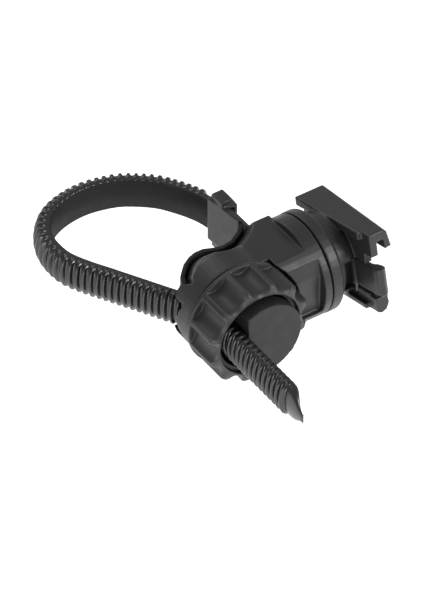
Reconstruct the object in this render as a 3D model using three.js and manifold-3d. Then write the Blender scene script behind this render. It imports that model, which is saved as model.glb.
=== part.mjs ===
// Bar clamp bracket for an accessory: a ribbed strap is drawn through a threaded thumb knob,
// and a swivel head carries a slide-in rail with a release lever.
// Millimetres, +Z up. The origin is the axis of the clamped bar, at the middle of the strap's width.
// The knob turns about a line along Y, and the head swivels about a line along X.
import * as THREE from "three";
import { mergeVertices } from "three/addons/utils/BufferGeometryUtils.js";
import Module from "manifold-3d";

const wasm = await Module();
wasm.setup();

// Driving dimensions.
const GAP = 0.3; // between pieces that touch
const STRAP_HALF = 4.2; // half of the strap's width
const RIB_PITCH = 1.65;
const TAIL_X = -10.5; // the strap's flat inner face where it runs through the knob
const TAIL_START = -24.4;
const TAIL_TIP = -61;
const KNOB_X = -5.5; // the knob's axis
const KNOB_RADIUS = 13;
const KNOB_BACK = -24.4;
const KNOB_FRONT = -34;
const KNOB_BORE = 9.4;
const FLUTES = 12;
const CORE_RADIUS = 8.8;
const CORE_FRONT = -36.3;
const DRUM_RADIUS = 12.4;
const SWIVEL_Y = -20; // the swivel's axis
const TURRET_RADIUS = 12;
const TURRET_TOP = 10.3;
const TURRET_FLATS_END = 11.4;
const TURRET_END = 15.3;
const COLLAR_END = 18.4;
const NECK_END = 22.2;
const RAIL_BACK = 23.5;
const SEAT_X = 25.3; // the face that the accessory's foot slides on
const LIP_X = 27.2; // the inner side of the rail's lip
const RAIL_FRONT_X = 28.9;
const RAIL_FAR = 10.2; // along the slide, from the swivel's axis
const RAIL_NEAR = 16.2;
const RAIL_HALF = 10;
const HEAD_TURN = -14; // degrees that the head is turned on its swivel
const SADDLE_HALF = 6.2;
const PAD_THICK = 1;
const LEVER_PIVOT = 7.6; // along the slide
const LEVER_MIDDLE = -2; // across the slide

// The saddle's line, from the drum's side to the strap's root.
const SADDLE_LINE = [
  [-14.3, -16.8],
  [-13.5, -14.6],
  [-12.1, -13.1],
  [-10.6, -11.6],
  [-8.3, -10.2],
  [-6.3, -9.6],
  [-4.2, -9.7],
  [-2.1, -10.6],
  [-0.3, -11.1],
  [2.2, -10.9],
  [5.1, -9.2],
  [7.3, -7.2],
];

// A closed geometry as a solid, with shared corners merged and empty triangles dropped.
function solidFrom(geometry) {
  const bare = geometry.index ? geometry.toNonIndexed() : geometry.clone();
  for (const name of Object.keys(bare.attributes)) {
    if (name !== "position") bare.deleteAttribute(name);
  }
  const merged = mergeVertices(bare, 1e-4);
  const corners = merged.index.array;
  const kept = [];
  for (let i = 0; i < corners.length; i += 3) {
    const [a, b, c] = corners.subarray(i, i + 3);
    if (a !== b && b !== c && c !== a) kept.push(a, b, c);
  }
  return new wasm.Manifold(
    new wasm.Mesh({
      numProp: 3,
      vertProperties: merged.attributes.position.array,
      triVerts: new Uint32Array(kept),
    }),
  );
}

function geometryFrom(solid) {
  const mesh = solid.getMesh();
  const geometry = new THREE.BufferGeometry();
  geometry.setAttribute("position", new THREE.BufferAttribute(mesh.vertProperties, 3));
  geometry.setIndex(new THREE.BufferAttribute(mesh.triVerts, 1));
  geometry.computeVertexNormals();
  return geometry;
}

const join = (...solids) => solids.reduce((whole, solid) => whole.add(solid));
const cut = (body, ...tools) => tools.reduce((left, tool) => left.subtract(tool), body);

function block([x0, x1], [y0, y1], [z0, z1]) {
  const box = new THREE.BoxGeometry(x1 - x0, y1 - y0, z1 - z0);
  return solidFrom(box.translate((x0 + x1) / 2, (y0 + y1) / 2, (z0 + z1) / 2));
}

// Round bars on the knob's axis and on the swivel's axis.
function knobBar([y0, y1], radius, sides = 48) {
  const bar = new THREE.CylinderGeometry(radius, radius, y1 - y0, sides);
  return solidFrom(bar.translate(KNOB_X, (y0 + y1) / 2, 0));
}

function swivelBar([x0, x1], radius, sides = 48) {
  const bar = new THREE.CylinderGeometry(radius, radius, x1 - x0, sides).rotateZ(Math.PI / 2);
  return solidFrom(bar.translate((x0 + x1) / 2, SWIVEL_Y, 0));
}

// A closed profile of [radius, distance along] points, turned about the knob's or the swivel's axis.
function knobTurned(profile, sides = 48) {
  const points = profile.map(([radius, y]) => new THREE.Vector2(radius, y));
  return solidFrom(new THREE.LatheGeometry(points, sides).translate(KNOB_X, 0, 0));
}

function swivelTurned(profile, sides = 48) {
  const points = profile.map(([radius, x]) => new THREE.Vector2(radius, x));
  return solidFrom(
    new THREE.LatheGeometry(points, sides).rotateZ(-Math.PI / 2).translate(0, SWIVEL_Y, 0),
  );
}

const polygon = (points) => new THREE.Shape(points.map(([x, y]) => new THREE.Vector2(x, y)));

function pushed(points, depth) {
  return new THREE.ExtrudeGeometry(polygon(points), { depth, bevelEnabled: false });
}

// An outline in X and Y, pushed from z0 to z1.
function prismZ(points, [z0, z1]) {
  return solidFrom(pushed(points, z1 - z0).translate(0, 0, z0));
}

// An outline in X and Y, pushed along Z to a second outline of as many points.
function tapered(points, farPoints, depth) {
  const prism = pushed(points, depth);
  const spots = prism.getAttribute("position");
  for (let i = 0; i < spots.count; i += 1) {
    if (spots.getZ(i) > depth / 2) {
      const [x, y] = [spots.getX(i), spots.getY(i)];
      const k = points.findIndex((point) => Math.hypot(point[0] - x, point[1] - y) < 0.001);
      spots.setXY(i, ...farPoints[k]);
    }
  }
  return prism;
}

// An outline in X and Z, pushed along Y.
function prismY(points, [y0, y1]) {
  return solidFrom(
    pushed(points, y1 - y0)
      .rotateX(Math.PI / 2)
      .translate(0, y1, 0),
  );
}

// An outline in Y and Z, pushed along X.
function prismX(points, [x0, x1]) {
  const turn = new THREE.Matrix4().set(0, 0, 1, x0, 1, 0, 0, 0, 0, 1, 0, 0, 0, 0, 0, 1);
  return solidFrom(pushed(points, x1 - x0).applyMatrix4(turn));
}

// The line through the points, moved sideways to its right by the distance.
function offsetLine(points, distance) {
  return points.map(([x, y], i) => {
    const [ax, ay] = points[Math.max(0, i - 1)];
    const [bx, by] = points[Math.min(points.length - 1, i + 1)];
    const length = Math.hypot(bx - ax, by - ay);
    return [x + ((by - ay) / length) * distance, y - ((bx - ax) / length) * distance];
  });
}

// Strap.

// The flat inner face of the loop: a free curve round the bar, then a straight run.
const LOOP_POINTS = [
  [7.3, 4.8],
  [6.5, 8.1],
  [5.2, 11.2],
  [3.6, 14.05],
  [1.4, 17.25],
  [-1.7, 20.05],
  [-5.2, 22.35],
  [-9.1, 23.65],
  [-12.95, 24.25],
  [-17.05, 23.95],
  [-20.65, 22.95],
  [-23.65, 21.25],
  [-26.05, 18.55],
  [-27.55, 15.3],
  [-27.95, 11.6],
  [-27.45, 7.6],
  [-25.35, 3],
];
const RUN_END = [-12.05, -20.46];
const BEND_RADIUS = 11.6;
const BEND_ANGLES = [30, 16.5]; // degrees, from the run's direction towards the tail's

// The flat inner face of the loop, from the anchor round the bar and into the drum.
function loopLine() {
  const line = new THREE.CurvePath();
  const points = [...LOOP_POINTS, [-22.9, -1.25]].map(([x, y]) => new THREE.Vector2(x, y));
  const runEnd = new THREE.Vector2(...RUN_END);
  const [from, to] = BEND_ANGLES.map(THREE.MathUtils.degToRad);
  const centre = new THREE.Vector2(
    runEnd.x - BEND_RADIUS * Math.cos(from),
    runEnd.y - BEND_RADIUS * Math.sin(from),
  );
  line.add(new THREE.SplineCurve(points));
  line.add(new THREE.LineCurve(points[points.length - 1], runEnd));
  line.add(new THREE.EllipseCurve(centre.x, centre.y, BEND_RADIUS, BEND_RADIUS, from, to, true, 0));
  return line;
}

// The tail is straight.
function tailLine() {
  const [start, end] = [TAIL_START, TAIL_TIP + 6].map((y) => new THREE.Vector2(TAIL_X, y));
  return new THREE.LineCurve(start, end);
}

// One ring of the strap's section: flat inside, round outside, [height, across] from the inner face.
const ring = (crown, half = STRAP_HALF, flat = 0) => [
  [flat, -half],
  [flat, half],
  [flat + (crown - flat) * 0.65, half],
  [flat + (crown - flat) * 0.93, half * 0.56],
  [crown, 0],
  [flat + (crown - flat) * 0.93, -half * 0.56],
  [flat + (crown - flat) * 0.65, -half],
];

const FLOOR = ring(3.2);
const CREST = ring(3.9);

// The rings [distance, section] of a ribbed length, with plain lengths at both ends.
function ribbedRings(length, from, to, tip = []) {
  const rings = [[0, FLOOR]];
  for (let at = from; at < to; at += RIB_PITCH) {
    rings.push([at, FLOOR], [at + 0.45, CREST], [at + 0.95, CREST], [at + 1.4, FLOOR]);
  }
  return [...rings, ...(tip.length ? tip : [[length, FLOOR]])];
}

// A closed skin through the rings along the line, whose outer side is on the line's right.
function strapSkin(line, length, rings) {
  const sides = FLOOR.length;
  const points = [];
  for (const [distance, section] of rings) {
    const u = Math.min(1, distance / length);
    const at = line.getPointAt(u);
    const along = line.getTangentAt(u);
    const past = Math.max(0, distance - length);
    for (const [height, across] of section) {
      points.push(
        at.x + along.x * past + along.y * height,
        at.y + along.y * past - along.x * height,
        across,
      );
    }
  }
  const index = [];
  for (let i = 0; i < rings.length - 1; i += 1) {
    for (let j = 0; j < sides; j += 1) {
      const [a, b] = [i * sides + j, i * sides + ((j + 1) % sides)];
      index.push(a, b, b + sides, a, b + sides, a + sides);
    }
  }
  const last = (rings.length - 1) * sides;
  for (let j = 1; j < sides - 1; j += 1) {
    index.push(0, j + 1, j, last, last + j, last + j + 1);
  }
  const skin = new THREE.BufferGeometry();
  skin.setAttribute("position", new THREE.Float32BufferAttribute(points, 3));
  skin.setIndex(index);
  return solidFrom(skin);
}

function strapLoop() {
  const line = loopLine();
  const length = line.getLength();
  return strapSkin(line, length, ribbedRings(length, 4, length - 2.5));
}

function strapTail() {
  const line = tailLine();
  const length = line.getLength();
  const tip = [
    [length, FLOOR],
    [length + 3, ring(3.2, 3.6, 1.1)],
    [length + 6, ring(3.2, 1.2, 2.4)],
  ];
  return strapSkin(line, length, ribbedRings(length, 1.2, length - 1.5, tip));
}

// The strap's root: a plate with an eye that hooks round the base's arm.
const ARM = { x: [8.9, 10.1], y: [-12, 4.3], half: 4.6 };
const EYE_Y = [-0.5, 3.7];

function strapRoot() {
  const plate = prismZ(
    [
      [7.8, -6],
      [6.45, 4.2],
      [6.45, 4.6],
      [8.6, 4.6],
      [8.6, -6],
    ],
    [-6.1, 6.1],
  );
  const eye = prismY(
    [
      [7, -7.6],
      [9.9, -7.6],
      [11.3, -5.2],
      [11.3, 5.2],
      [9.9, 7.6],
      [7, 7.6],
    ],
    EYE_Y,
  );
  const hole = block([8.6, ARM.x[1] + GAP], [-2, 5], [-ARM.half - GAP, ARM.half + GAP]);
  const trim = prismZ(
    [
      [0, -7],
      [7.8, -6],
      [6.45, 4.2],
      [0, 5],
    ],
    [-8, 8],
  );
  return cut(join(plate, eye), hole, trim);
}

// Base.

function turret() {
  const barrel = swivelTurned([
    [0, -2],
    [TURRET_RADIUS, -2],
    [TURRET_RADIUS, TURRET_END],
    [0, TURRET_END],
  ]);
  const flats = [1, -1].map((side) =>
    block(
      [-3, TURRET_FLATS_END],
      [SWIVEL_Y - 6.15, SWIVEL_Y + 6.15],
      side > 0 ? [TURRET_TOP, 13] : [-13, -TURRET_TOP],
    ),
  );
  const side = prismX(
    [
      [SWIVEL_Y - 13, -5],
      [SWIVEL_Y - 9.6, -5],
      [SWIVEL_Y - 9.6, 4.8],
      [SWIVEL_Y - 8.2, 9.2],
      [SWIVEL_Y - 13, 9.2],
    ],
    [-3, 13.4],
  );
  return cut(barrel, ...flats, side);
}

// The shoulder between the turret and the saddle.
function shoulder() {
  return prismX(
    [
      [SWIVEL_Y, -TURRET_TOP],
      [-12.1, -TURRET_TOP],
      [-9, -SADDLE_HALF - 0.2],
      [-9, SADDLE_HALF + 0.2],
      [-12.1, TURRET_TOP],
      [SWIVEL_Y, TURRET_TOP],
    ],
    [-1.6, 11.8],
  );
}

function drum() {
  return knobTurned(
    [
      [0, -24],
      [DRUM_RADIUS, -24],
      [DRUM_RADIUS, -18],
      [DRUM_RADIUS - 0.8, -15.6],
      [DRUM_RADIUS - 3, -13.6],
      [0, -12.6],
    ],
    56,
  );
}

// The strap's way into the drum and through to the knob.
const strapWay = () =>
  prismZ(
    [
      [-18.79, -8.19],
      [-23.95, -8.85],
      [-15.95, -22.71],
      [-15.3, -24.4],
      [-15.2, -26],
      [TAIL_X + GAP, -26],
      [TAIL_X + GAP, -24.2],
      [-10.85, -22.4],
      [-11.79, -20.31],
    ],
    [-STRAP_HALF - 0.4, STRAP_HALF + 0.4],
  );

function baseFrame() {
  const top = offsetLine(SADDLE_LINE, PAD_THICK + GAP);
  const saddle = prismZ([[-12.6, -20], ...top, [9.4, -8.6], [9.4, -20]], [-SADDLE_HALF, SADDLE_HALF]);
  const arm = block(ARM.x, ARM.y, [-ARM.half, ARM.half]);
  const above = prismZ([...top, [9, -5], [9, 5], [-20, 5], [-20, -16]], [-14, 14]);
  const solid = join(cut(join(turret(), shoulder(), saddle, drum()), above), arm);
  const clear = knobBar([-40, -24], KNOB_RADIUS + 0.5);
  return cut(
    solid,
    clear,
    strapWay(),
    saddleSlope(),
    knobBar([-25, -18], 5.1, 32),
    knobBar([-19, -8], 1.5, 20),
    knobBar([-13.4, -8], 3, 24),
    swivelBar([5, 16], 1.9, 20),
  );
}

// What the saddle's upper slope clears, so that the pad's edge stands proud of the base.
function saddleSlope() {
  const line = offsetLine(SADDLE_LINE, PAD_THICK + GAP + 0.2);
  const behind = [
    [9, -5],
    [9, 5],
    [-24, 5],
    [-24, -17.5],
  ];
  const high = line.map(([x, y]) => [x - 2.2, y - 7.6]);
  const slope = solidFrom(tapered([...line, ...behind], [...high, ...behind], 8).translate(0, 0, 5.6));
  return join(slope, slope.mirror([0, 0, 1]));
}

function saddlePad() {
  const under = offsetLine(SADDLE_LINE, PAD_THICK).reverse();
  return cut(prismZ([...SADDLE_LINE, ...under], [-6.5, 6.5]), strapWay());
}

// The fixed core inside the knob, with a flat that backs the strap.
function guideCore() {
  const round = join(
    knobBar([CORE_FRONT, KNOB_BACK], CORE_RADIUS, 56),
    knobBar([-25, -18.4], 4.8, 32),
    knobBar([CORE_FRONT, KNOB_FRONT + 1.5 - GAP], CORE_RADIUS + 0.5, 56),
  );
  const flat = block([-20, TAIL_X + GAP], [-40, -17], [-14, 14]);
  return cut(round, flat, knobBar([-31, -17], 1.1, 20));
}

function coreScrew() {
  return join(knobBar([-30, -12.9], 0.8, 16), knobBar([-13.1, -11.6], 2.6, 24));
}

// Knob.

function dialKnob() {
  const back = KNOB_BACK;
  const body = knobTurned(
    [
      [KNOB_BORE, back],
      [KNOB_BORE, KNOB_FRONT + 1.5],
      [10.3, KNOB_FRONT + 1.5],
      [10.3, KNOB_FRONT],
      [12.2, KNOB_FRONT],
      [KNOB_RADIUS, KNOB_FRONT + 0.9],
      [KNOB_RADIUS, back - 0.4],
      [12.6, back],
      [KNOB_BORE, back],
    ],
    72,
  );
  const scoops = [];
  for (let i = 0; i < FLUTES; i += 1) {
    const angle = THREE.MathUtils.degToRad(1 + (360 / FLUTES) * i);
    const [x, z] = [Math.sin(angle), Math.cos(angle)].map((part) => part * 14.6);
    const scoop = new THREE.CylinderGeometry(2.9, 2.9, 10, 14);
    scoops.push(solidFrom(scoop.translate(KNOB_X + x, KNOB_FRONT + 3.4, z)));
  }
  return cut(body, ...scoops);
}

// Head, built square to the base and then turned on the swivel.

const alongSlide = ([d0, d1]) => [SWIVEL_Y - d1, SWIVEL_Y - d0];

function headBlock(xs, slide, ws) {
  return block(xs, alongSlide(slide), ws);
}

// The upper rail's outline in X and across the slide: at its entry end, and at its wider far end.
const UPPER_RAIL = [
  [22.5, 8.2],
  [22.5, RAIL_HALF],
  [27.5, RAIL_HALF],
  [28.2, 9.3],
  [RAIL_FRONT_X, 5.5],
  [LIP_X, 5.2],
  [LIP_X, 7.7],
  [SEAT_X, 7.7],
  [SEAT_X, 4.4],
  [RAIL_BACK, 4.4],
  [RAIL_BACK, 8.2],
];
const UPPER_RAIL_FAR = [
  [21.7, 8.2],
  [21.7, RAIL_HALF + 0.4],
  [29.1, RAIL_HALF + 0.4],
  [29.7, 9.8],
  [29.7, 5.5],
  ...UPPER_RAIL.slice(5),
];
const LOWER_RAIL = [
  [RAIL_BACK, -8.2],
  [RAIL_BACK, -5.7],
  [SEAT_X, -5.7],
  [SEAT_X, -7.7],
  [LIP_X, -7.7],
  [LIP_X, -6.4],
  [28.5, -6.6],
  [28.5, -8.8],
  [27.8, -9.5],
  [22.4, -9.5],
  [22.4, -8.2],
];

function railHead() {
  const [entry, far] = alongSlide([-RAIL_FAR, RAIL_NEAR]);
  const upper = solidFrom(
    tapered(UPPER_RAIL_FAR, UPPER_RAIL, far - entry)
      .rotateX(Math.PI / 2)
      .translate(0, far, 0),
  );
  const lower = prismY(LOWER_RAIL, alongSlide([-RAIL_FAR, RAIL_NEAR - 3.4]));
  const nose = prismY(
    [
      [26.4, -6.2],
      [26.8, -8.2],
      [26, -9.6],
      [24.6, -10.2],
      [RAIL_BACK, -9.6],
      [RAIL_BACK, -6.2],
    ],
    alongSlide([RAIL_NEAR - 5.4, RAIL_NEAR - 0.4]),
  );
  const notch = headBlock([21, RAIL_BACK], [RAIL_NEAR - 3, RAIL_NEAR + 1], [7, 11]);
  const plate = headBlock([RAIL_BACK, SEAT_X], [-RAIL_FAR, RAIL_NEAR - 3], [-6.5, 5.5]);
  const neck = swivelTurned([
    [0, COLLAR_END + GAP],
    [9.6, COLLAR_END + GAP],
    [10, 19.2],
    [10, NECK_END],
    [9.2, RAIL_BACK + 0.5],
    [0, RAIL_BACK + 0.5],
  ]);
  const spindle = swivelBar([15.9, COLLAR_END + 1], 5.2, 32);
  const window = headBlock([RAIL_BACK - 3.2, SEAT_X + 1], [LEVER_PIVOT - 1.6, 20], [-5.8, 1.8]);
  const ringGroove = swivelTurned([
    [6.6, 18],
    [9.1, 18],
    [9.1, 20],
    [6.6, 20],
    [6.6, 18],
  ]);
  return cut(
    join(plate, neck, spindle, upper, lower, nose),
    notch,
    window,
    ringGroove,
    swivelBar([15, 30], 1.9, 20),
    swivelBar([SEAT_X - 2.4, 30], 3.8, 32),
    leverPinBar(1.05, [-7.6, 4.2]),
  );
}

// A bar across the slide at the lever's pivot.
function leverPinBar(radius, [w0, w1], sides = 16) {
  const bar = new THREE.CylinderGeometry(radius, radius, w1 - w0, sides).rotateX(Math.PI / 2);
  return solidFrom(bar.translate(24.2, SWIVEL_Y - LEVER_PIVOT, (w0 + w1) / 2));
}

function releaseLever() {
  const half = 3.4;
  const across = [LEVER_MIDDLE - half, LEVER_MIDDLE + half];
  const outline = [
    [23.6, 8.4],
    [23.8, 14],
    [23.7, 15.6],
    [24.1, 17],
    [25.2, 17.5],
    [26.4, 16.6],
    [26.1, 14.9],
    [25.3, 13.6],
    [25.1, 8.4],
  ];
  const tongue = prismZ(
    outline.map(([x, d]) => [x, SWIVEL_Y - d]),
    across,
  );
  const barrel = leverPinBar(1.2, across, 24);
  return cut(join(tongue, barrel), leverPinBar(0.95, [-9, 5]));
}

function turnHead(solid) {
  return solid.translate(0, -SWIVEL_Y, 0).rotate(HEAD_TURN, 0, 0).translate(0, SWIVEL_Y, 0);
}

function swivelCollar() {
  return swivelTurned([
    [5.5, TURRET_END + GAP],
    [TURRET_RADIUS + 0.1, TURRET_END + GAP],
    [TURRET_RADIUS + 0.1, COLLAR_END - 0.4],
    [TURRET_RADIUS - 0.3, COLLAR_END],
    [5.5, COLLAR_END],
    [5.5, TURRET_END + GAP],
  ]);
}

function frictionRing() {
  return swivelTurned([
    [6.9, COLLAR_END + 0.1],
    [8.8, COLLAR_END + 0.1],
    [8.8, 19.7],
    [6.9, 19.7],
    [6.9, COLLAR_END + 0.1],
  ]);
}

function swivelScrew() {
  return join(swivelBar([6, SEAT_X - 2], 1.6, 20), swivelBar([SEAT_X - 2.1, SEAT_X - 0.4], 3.4, 32));
}

// Materials.

function plastic(color, roughness, metalness = 0) {
  return new THREE.MeshStandardMaterial({ color, roughness, metalness });
}

const BODY = plastic(0x2f2f31, 0.5);
const KNOB = plastic(0x2a2a2c, 0.62);
const STRAP = plastic(0x161617, 0.34);
const RUBBER = plastic(0x232324, 0.8);
const STEEL = plastic(0x8c8d90, 0.35, 1);

const PIECES = [
  ["base_frame", baseFrame(), BODY],
  ["saddle_pad", saddlePad(), RUBBER],
  ["guide_core", guideCore(), BODY],
  ["core_screw", coreScrew(), STEEL],
  ["swivel_collar", swivelCollar(), BODY],
  ["strap_loop", strapLoop(), STRAP],
  ["strap_root", strapRoot(), STRAP],
  ["dial_knob", dialKnob(), KNOB],
  ["strap_tail", strapTail(), STRAP],
  ["rail_head", turnHead(railHead()), BODY],
  ["friction_ring", turnHead(frictionRing()), RUBBER],
  ["swivel_screw", turnHead(swivelScrew()), STEEL],
  ["release_lever", turnHead(releaseLever()), BODY],
  ["lever_pin", turnHead(leverPinBar(0.75, [-7.4, 4])), STEEL],
];

const bracket = new THREE.Group();
bracket.name = "swivel_bar_bracket";
for (const [name, solid, material] of PIECES) {
  const mesh = new THREE.Mesh(geometryFrom(solid), material);
  mesh.name = name;
  bracket.add(mesh);
}

export default bracket;
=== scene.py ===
"""Strap clamp swivel bracket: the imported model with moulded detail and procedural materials."""
import bisect
import math

import bpy
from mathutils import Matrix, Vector


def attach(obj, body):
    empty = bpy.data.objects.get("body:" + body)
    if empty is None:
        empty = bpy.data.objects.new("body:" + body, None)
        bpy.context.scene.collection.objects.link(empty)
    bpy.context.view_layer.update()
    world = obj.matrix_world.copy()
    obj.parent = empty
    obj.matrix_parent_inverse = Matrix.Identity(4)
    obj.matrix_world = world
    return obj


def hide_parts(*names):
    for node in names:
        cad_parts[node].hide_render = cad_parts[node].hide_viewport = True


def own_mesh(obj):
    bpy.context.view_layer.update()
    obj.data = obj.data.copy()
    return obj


MM = 0.001
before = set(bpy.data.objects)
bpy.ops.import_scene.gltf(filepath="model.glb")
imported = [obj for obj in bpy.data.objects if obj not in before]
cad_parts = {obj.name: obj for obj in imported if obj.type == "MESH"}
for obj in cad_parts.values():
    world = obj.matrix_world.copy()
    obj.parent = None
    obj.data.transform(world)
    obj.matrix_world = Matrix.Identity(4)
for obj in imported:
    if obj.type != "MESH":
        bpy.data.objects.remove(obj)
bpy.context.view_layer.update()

# Camera, which looks at CAMERA_AT from CAMERA_DISTANCE metres away.
CAMERA_AT = Vector((-1.75, -9.64, -9.96)) * MM
CAMERA_AZIMUTH = -34
CAMERA_ELEVATION = 42
CAMERA_DISTANCE = 1.0
CAMERA_LENS = 270

# Strap, in millimetres.
STRAP_HALF = 4.2
STRAP_FLOOR = 2.9
STRAP_CREST = 3.9
EDGE_SHARE = 0.66
RIB_PITCH = 1.65
RIB_STEPS = 12
TAIL_X = -10.5
TAIL_START = -24.4
TAIL_RIBS_END = -54.5
TAIL_TIP = -61.0
TIP_LIFT = 2.4
TIP_NARROWING = 0.72

# The flat inner face of the loop: a free curve round the bar, a straight run, and a bend in the drum.
LOOP_POINTS = [
    (7.3, 4.8), (6.5, 8.1), (5.2, 11.2), (3.6, 14.05), (1.4, 17.25), (-1.7, 20.05), (-5.2, 22.35),
    (-9.1, 23.65), (-12.95, 24.25), (-17.05, 23.95), (-20.65, 22.95), (-23.65, 21.25),
    (-26.05, 18.55), (-27.55, 15.3), (-27.95, 11.6), (-27.45, 7.6), (-25.35, 3),
]
RUN_START = (-22.9, -1.25)
RUN_END = (-12.05, -20.46)
BEND_RADIUS = 11.6
BEND_DEGREES = range(30, 16, -1)
LINING_RINGS = 200

# Knob, in millimetres.
KNOB_X = -5.5
KNOB_BACK = -24.4
KNOB_FRONT = -34.0
KNOB_RADIUS = 13.0
KNOB_BORE = 9.42
KNOB_SIDES = 360
FLUTES = 12
FLUTE_TURN = 1.0
SCOOP_RADIUS = 3.2
SCOOP_CENTRE = 14.6
SCOOP_END = -25.4
FRONT_ROUND = (1.1, 0.75)
BACK_ROUND = (0.5, 0.45)
THREAD_RINGS = 40
THREAD_LENGTH = 8.0

# The knob's outer skin from front to back, with close rows where the scoops end.
KNOB_ROWS = [
    KNOB_FRONT, -33.95, -33.8, -33.5, -33.2, -32.9, -32, -31, -30, -29, -28, -27, -26.4, -26.0, -25.8,
    -25.72, -25.65, -25.58, -25.5, -25.44, -25.38, -25.3, -25.1, -24.9, -24.7, -24.5, KNOB_BACK,
]

# The knob's recess in front of the thread: radius, and distance behind the front face.
RECESS = [
    (KNOB_BORE + 0.05, 1.5), (KNOB_BORE + 0.15, 1.45), (10.2, 1.45), (10.3, 1.35), (10.32, 0.15),
    (10.45, 0.02), (10.6, 0),
]

# Stage, in metres and watts.
FLOOR_HALF = 3.0
FLOOR_HEIGHT = -0.12
LIGHTS = {
    "key": ((0.3, -0.5, 0.36), 0.25, 2.7),
    "fill": ((-0.5, -0.4, 0.06), 0.3, 1.3),
    "rim": ((0.0, 0.5, 0.4), 0.3, 0.7),
}


# Materials.

class Nodes:
    """A short way to build a material's node tree."""

    def __init__(self, name):
        self.material = bpy.data.materials.new(name)
        self.material.use_nodes = True
        self.tree = self.material.node_tree
        self.shader = self.tree.nodes["Principled BSDF"]
        self.coordinates = self.add("ShaderNodeTexCoord").outputs["Object"]

    def add(self, kind, inputs=None, **settings):
        node = self.tree.nodes.new(kind)
        for key, value in settings.items():
            setattr(node, key, value)
        for key, value in (inputs or {}).items():
            if isinstance(value, bpy.types.NodeSocket):
                self.tree.links.new(value, node.inputs[key])
            else:
                node.inputs[key].default_value = value
        return node

    def link(self, output, name):
        self.tree.links.new(output, self.shader.inputs[name])

    def noise(self, scale, detail=3.0, roughness=0.55):
        inputs = {"Vector": self.coordinates, "Scale": scale, "Detail": detail, "Roughness": roughness}
        return self.add("ShaderNodeTexNoise", inputs).outputs["Fac"]

    def spread(self, value, low, high):
        inputs = {"Value": value, "From Min": 0.3, "From Max": 0.7, "To Min": low, "To Max": high}
        return self.add("ShaderNodeMapRange", inputs).outputs["Result"]

    def mix(self, factor, first, second):
        node = self.add("ShaderNodeMix", data_type="RGBA")
        for socket, value in zip((0, 6, 7), (factor, first, second)):
            if isinstance(value, bpy.types.NodeSocket):
                self.tree.links.new(value, node.inputs[socket])
            else:
                node.inputs[socket].default_value = value
        return node.outputs[2]


def moulded(name, color, worn, roughness, specular=0.5, grain=2600.0, bump=0.00002, wear=0.5):
    """Moulded plastic: fine grain, slow colour change, softer gloss in places and paler edges."""
    nodes = Nodes(name)
    broad = nodes.noise(90.0)
    fine = nodes.noise(grain, 2.0)
    tone = nodes.spread(broad, 0.0, 1.0)
    darker = tuple(part * 0.82 for part in color[:3]) + (1.0,)
    base = nodes.mix(tone, darker, color)
    edge = nodes.add("ShaderNodeNewGeometry").outputs["Pointiness"]
    edge_inputs = {"Value": edge, "From Min": 0.515, "From Max": 0.6, "To Min": 0.0, "To Max": wear}
    edge = nodes.add("ShaderNodeMapRange", edge_inputs).outputs["Result"]
    nodes.link(nodes.mix(edge, base, worn), "Base Color")
    nodes.link(nodes.spread(nodes.noise(400.0), roughness - 0.05, roughness + 0.06), "Roughness")
    nodes.shader.inputs["Specular IOR Level"].default_value = specular
    relief = nodes.add("ShaderNodeBump", {"Strength": 0.45, "Distance": bump, "Height": fine})
    nodes.link(relief.outputs["Normal"], "Normal")
    return nodes.material


def steel(name):
    nodes = Nodes(name)
    nodes.shader.inputs["Metallic"].default_value = 1.0
    nodes.link(nodes.mix(nodes.noise(300.0), (0.07, 0.07, 0.072, 1), (0.12, 0.12, 0.122, 1)), "Base Color")
    nodes.link(nodes.spread(nodes.noise(900.0), 0.28, 0.45), "Roughness")
    return nodes.material


BODY = moulded("body_plastic", (0.020, 0.020, 0.0205, 1), (0.06, 0.06, 0.06, 1), 0.44)
KNOB = moulded("knob_plastic", (0.023, 0.023, 0.0235, 1), (0.1, 0.098, 0.096, 1), 0.46,
               grain=1500.0, bump=0.00006, wear=0.7)
STRAP = moulded("strap_nylon", (0.006, 0.006, 0.0065, 1), (0.02, 0.02, 0.02, 1), 0.26,
                specular=0.75, grain=3000.0, bump=0.000004, wear=0.5)
LINING = moulded("strap_lining", (0.012, 0.012, 0.0125, 1), (0.03, 0.03, 0.03, 1), 0.75, specular=0.2)
CORE = moulded("core_plastic", (0.013, 0.013, 0.0135, 1), (0.05, 0.05, 0.05, 1), 0.5, specular=0.35)
RUBBER = moulded("pad_rubber", (0.017, 0.017, 0.017, 1), (0.03, 0.03, 0.03, 1), 0.72, specular=0.35)
STEEL = steel("plain_steel")


def paint(piece, material):
    piece.data.materials.clear()
    piece.data.materials.append(material)


# Mesh helpers.

def new_piece(name, points, faces, material, slot, body, *stands_for):
    """A smooth mesh piece from points in millimetres."""
    mesh = bpy.data.meshes.new(name)
    mesh.from_pydata([Vector(point) * MM for point in points], [], faces)
    mesh.validate()
    mesh.update()
    for face in mesh.polygons:
        face.use_smooth = True
    piece = bpy.data.objects.new(name, mesh)
    bpy.context.collection.objects.link(piece)
    paint(piece, material)
    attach(piece, body)
    if stands_for:
        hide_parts(*stands_for)
    return piece


def closed_skin(rings, cap=True):
    """Points and faces of a skin through rings of the same count, with fans over both ends."""
    count = len(rings[0])
    points = [point for ring in rings for point in ring]
    faces = []
    for i in range(len(rings) - 1):
        for j in range(count):
            a, b = i * count + j, i * count + (j + 1) % count
            faces.append((a, b, b + count, a + count))
    if cap:
        last = (len(rings) - 1) * count
        faces.append(tuple(reversed(range(count))))
        faces.append(tuple(last + j for j in range(count)))
    return points, faces


def smoothstep(x, low, high):
    t = min(1.0, max(0.0, (x - low) / (high - low)))
    return t * t * (3 - 2 * t)


# Strap.

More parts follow.
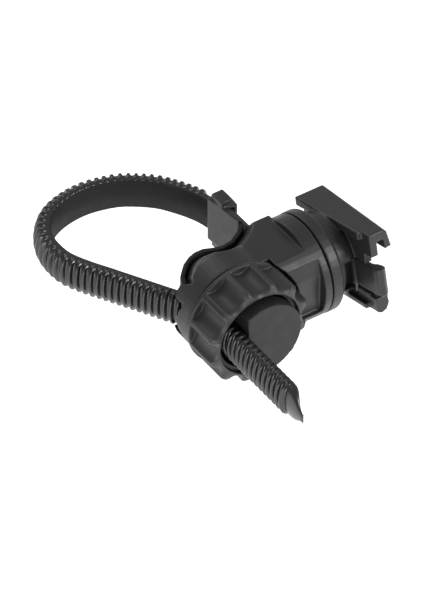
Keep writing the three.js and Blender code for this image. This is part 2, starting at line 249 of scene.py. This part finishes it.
class Path:
    """A line in X and Y through many close points, in millimetres."""

    def __init__(self, points):
        self.points = [Vector(point) for point in points]
        self.marks = [0.0]
        for first, second in zip(self.points, self.points[1:]):
            self.marks.append(self.marks[-1] + (second - first).length)
        self.length = self.marks[-1]

    def spot(self, distance):
        distance = min(self.length, max(0.0, distance))
        i = min(len(self.points) - 2, max(0, bisect.bisect_right(self.marks, distance) - 1))
        share = (distance - self.marks[i]) / (self.marks[i + 1] - self.marks[i])
        return self.points[i].lerp(self.points[i + 1], share)

    def at(self, distance):
        """The point at a distance, and the line's heading there."""
        spot = self.spot(distance)
        along = self.spot(distance + 0.3) - self.spot(distance - 0.3)
        return spot.x, spot.y, math.atan2(along.y, along.x)


def curve_through(points, steps=16):
    """Close points on a smooth curve through the given ones."""
    known = [Vector(point) for point in points]
    ends = [known[0] * 2 - known[1], *known, known[-1] * 2 - known[-2]]
    line = []
    for a, b, c, d in zip(ends, ends[1:], ends[2:], ends[3:]):
        for step in range(steps):
            t = step / steps
            line.append(0.5 * (2 * b + (c - a) * t + (2 * a - 5 * b + 4 * c - d) * t**2
                               + (3 * b - a - 3 * c + d) * t**3))
    return line + [known[-1]]


def strap_section(tooth, narrow=1.0, lift=0.0):
    """(height, across) points of the strap's section: a flat, then a crowned back with rounded edges.

    tooth is 0 in a groove and 1 on a rib, narrow scales the width, and lift raises the flat.
    """
    rise = STRAP_FLOOR + (STRAP_CREST - STRAP_FLOOR) * tooth
    edge = rise * EDGE_SHARE
    wide = STRAP_HALF - 0.16 * (1 - tooth)
    radius = (wide**2 + (rise - edge) ** 2) / (2 * (rise - edge))
    flat = wide - 0.3
    points = [
        (0.25, -wide * narrow),
        (0.0, -flat * narrow),
        (0.0, 0.0),
        (0.0, flat * narrow),
        (0.25, wide * narrow),
    ]
    for step in range(13):
        across = wide * (1 - step / 6)
        height = edge + math.sqrt(max(0.0, radius**2 - across**2)) - (radius - (rise - edge))
        drop = 0.35 * smoothstep(abs(across), wide - 0.8, wide)
        points.append((height - drop, across * narrow))
    return [(lift + height * (1 - lift / rise), across) for height, across in points]


def rib(distance, first, last):
    """The height of the ribbing at a distance, from 0 in a groove to 1 on a crest."""
    if distance < first or distance > last:
        return 0.0
    phase = ((distance - first) / RIB_PITCH) % 1.0
    return smoothstep(0.5 - abs(phase - 0.5), 0.16, 0.4)


def strap_rings(path, sections):
    """Rings of points along the path at every distance that sections gives."""
    rings = []
    for distance, section in sections:
        x, y, heading = path.at(distance)
        along = (math.cos(heading), math.sin(heading))
        rings.append([(x + along[1] * h, y - along[0] * h, w) for h, w in section])
    return rings


def loop_path():
    """The loop's flat inner face, from the root round the bar and into the drum."""
    spokes = [
        Vector((math.cos(math.radians(degrees)), math.sin(math.radians(degrees)))) * BEND_RADIUS
        for degrees in BEND_DEGREES
    ]
    centre = Vector(RUN_END) - spokes[0]
    line = curve_through([*LOOP_POINTS, RUN_START])
    return Path(line + [centre + spoke for spoke in spokes])


def ring_distances(path):
    """Even distances along the path, close enough to draw the ribs."""
    count = int(path.length / (RIB_PITCH / RIB_STEPS))
    return [path.length * i / count for i in range(count + 1)]


def strap_loop(path):
    sections = [
        (distance, strap_section(rib(distance, 3.0, path.length - 0.5)))
        for distance in ring_distances(path)
    ]
    return closed_skin(strap_rings(path, sections))


def strap_lining(path):
    """The loop's matt inner face."""
    low, high, half = -0.05, 0.1, STRAP_HALF - 0.3
    section = [(low, -half), (low, 0.0), (low, half), (high, half), (high, -half)]
    sections = [(path.length * i / LINING_RINGS, section) for i in range(LINING_RINGS + 1)]
    return closed_skin(strap_rings(path, sections))


def strap_tail():
    """The straight tail, which narrows to a tip bevelled on its flat side."""
    path = Path([(TAIL_X, TAIL_START), (TAIL_X, TAIL_TIP)])
    ribs_end = TAIL_START - TAIL_RIBS_END
    sections = []
    for distance in ring_distances(path):
        ending = smoothstep(distance, ribs_end, path.length)
        narrow = 1 - TIP_NARROWING * ending**1.7
        tooth = rib(distance, 0.6, ribs_end)
        sections.append((distance, strap_section(tooth, narrow, TIP_LIFT * ending)))
    return closed_skin(strap_rings(path, sections))


# Knob.

def knob_radius(angle, y):
    """The knob's outer radius, with scoops that stop short of the rear rim and corners rounded."""
    phase = ((math.degrees(angle) - FLUTE_TURN) / (360 / FLUTES)) % 1.0
    off = abs(phase - round(phase)) * math.radians(360 / FLUTES) * KNOB_RADIUS
    bite = math.sqrt(max(0.0, SCOOP_RADIUS**2 - off**2)) - (SCOOP_CENTRE - KNOB_RADIUS)
    radius = KNOB_RADIUS - max(0.0, bite) * smoothstep(y, SCOOP_END, SCOOP_END - 0.35)
    length, depth = FRONT_ROUND
    radius -= depth * (max(0.0, KNOB_FRONT + length - y) / length) ** 2
    length, depth = BACK_ROUND
    return radius - depth * (max(0.0, y - (KNOB_BACK - length)) / length) ** 2


def thread_radius(angle, y):
    """The bore's radius, with a thread of the ribs' pitch."""
    phase = ((y - KNOB_BACK) / RIB_PITCH + angle / (2 * math.pi)) % 1.0
    return KNOB_BORE + 0.1 - 0.12 * smoothstep(0.5 - abs(phase - 0.5), 0.12, 0.36)


def knob_ring(y, radius_at):
    """A ring round the knob's axis at y, whose radius is radius_at(angle, y)."""
    ring = []
    for i in range(KNOB_SIDES):
        angle = 2 * math.pi * i / KNOB_SIDES
        radius = radius_at(angle, y)
        ring.append((KNOB_X + radius * math.sin(angle), y, radius * math.cos(angle)))
    return ring


def plain_ring(radius, y):
    return knob_ring(y, lambda angle, y: radius)


def dial_knob():
    """A closed skin: up the threaded bore, round the recess, back along the scoops."""
    rings = [plain_ring(KNOB_BORE, KNOB_BACK)]
    for i in range(THREAD_RINGS):
        y = KNOB_BACK - THREAD_LENGTH * (i + 0.5) / THREAD_RINGS
        rings.append(knob_ring(y, thread_radius))
    rings += [plain_ring(radius, KNOB_FRONT + behind) for radius, behind in RECESS]
    rings += [knob_ring(y, knob_radius) for y in KNOB_ROWS]
    rings.append(plain_ring(12.3, KNOB_BACK))
    points, faces = closed_skin(rings, cap=False)
    last = (len(rings) - 1) * KNOB_SIDES
    for j in range(KNOB_SIDES):
        k = (j + 1) % KNOB_SIDES
        faces.append((last + j, last + k, k, j))
    return points, faces


def soften(node, voxel=0.22, rounds=5):
    """Rounds a moulded CAD node's edges with a fine remesh and a smoothing."""
    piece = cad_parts[node]
    remesh = piece.modifiers.new("remesh", "REMESH")
    remesh.mode = "VOXEL"
    remesh.voxel_size = voxel * MM
    remesh.use_smooth_shade = True
    smooth = piece.modifiers.new("smooth", "SMOOTH")
    smooth.factor = 0.5
    smooth.iterations = rounds


path = loop_path()
loop_pieces = [
    new_piece("strap_loop_ribbed", *strap_loop(path), STRAP, "strap", "bracket", "strap_loop"),
    new_piece("strap_loop_lining", *strap_lining(path), LINING, "strap", "bracket"),
]
for piece in loop_pieces:
    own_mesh(piece)
new_piece("strap_tail_ribbed", *strap_tail(), STRAP, "strap", "tail", "strap_tail")
new_piece("dial_knob_fluted", *dial_knob(), KNOB, "knob", "knob", "dial_knob")

for node, material in {
    "base_frame": BODY,
    "guide_core": CORE,
    "swivel_collar": BODY,
    "rail_head": BODY,
    "release_lever": BODY,
    "strap_root": BODY,
    "saddle_pad": RUBBER,
    "friction_ring": RUBBER,
    "core_screw": STEEL,
    "swivel_screw": STEEL,
    "lever_pin": STEEL,
}.items():
    paint(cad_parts[node], material)

for node in ("base_frame", "rail_head", "release_lever", "strap_root", "guide_core", "swivel_collar"):
    soften(node)
soften("saddle_pad", 0.18, 2)


# Floor, lights and camera.

def make_floor():
    mesh = bpy.data.meshes.new("floor")
    corners = [(x * FLOOR_HALF, y * FLOOR_HALF, 0) for x, y in ((-1, -1), (1, -1), (1, 1), (-1, 1))]
    mesh.from_pydata(corners, [], [(0, 1, 2, 3)])
    floor = bpy.data.objects.new("floor", mesh)
    floor.location.z = FLOOR_HEIGHT
    bpy.context.collection.objects.link(floor)
    nodes = Nodes("pale_floor")
    nodes.link(nodes.mix(nodes.noise(3.0), (0.93, 0.93, 0.93, 1), (0.96, 0.96, 0.96, 1)), "Base Color")
    nodes.shader.inputs["Roughness"].default_value = 0.9
    nodes.shader.inputs["Specular IOR Level"].default_value = 0.1
    nodes.shader.inputs["Emission Color"].default_value = (1, 1, 1, 1)
    nodes.shader.inputs["Emission Strength"].default_value = 0.6
    paint(floor, nodes.material)


def light(name, at, size, power):
    data = bpy.data.lights.new(name, "AREA")
    data.shape = "DISK"
    data.size = size
    data.energy = power
    lamp = bpy.data.objects.new(name, data)
    lamp.location = at
    lamp.rotation_euler = (CAMERA_AT - Vector(at)).to_track_quat("-Z", "Y").to_euler()
    bpy.context.collection.objects.link(lamp)


def make_camera():
    azimuth = math.radians(CAMERA_AZIMUTH)
    elevation = math.radians(CAMERA_ELEVATION)
    back = Vector((
        math.sin(azimuth) * math.cos(elevation),
        -math.cos(azimuth) * math.cos(elevation),
        math.sin(elevation),
    ))
    data = bpy.data.cameras.new("camera")
    data.lens = CAMERA_LENS
    data.sensor_width = 36
    data.clip_start = 0.01
    camera = bpy.data.objects.new("camera", data)
    camera.location = CAMERA_AT + back * CAMERA_DISTANCE
    camera.rotation_euler = (-back).to_track_quat("-Z", "Y").to_euler()
    bpy.context.collection.objects.link(camera)
    bpy.context.scene.camera = camera


def make_world():
    world = bpy.data.worlds.new("studio")
    world.use_nodes = True
    background = world.node_tree.nodes["Background"]
    background.inputs["Color"].default_value = (1, 1, 1, 1)
    background.inputs["Strength"].default_value = 0.42
    bpy.context.scene.world = world


bpy.context.scene.view_settings.view_transform = "Standard"
make_floor()
make_world()
for name, (at, size, power) in LIGHTS.items():
    light(name, at, size, power)
make_camera()
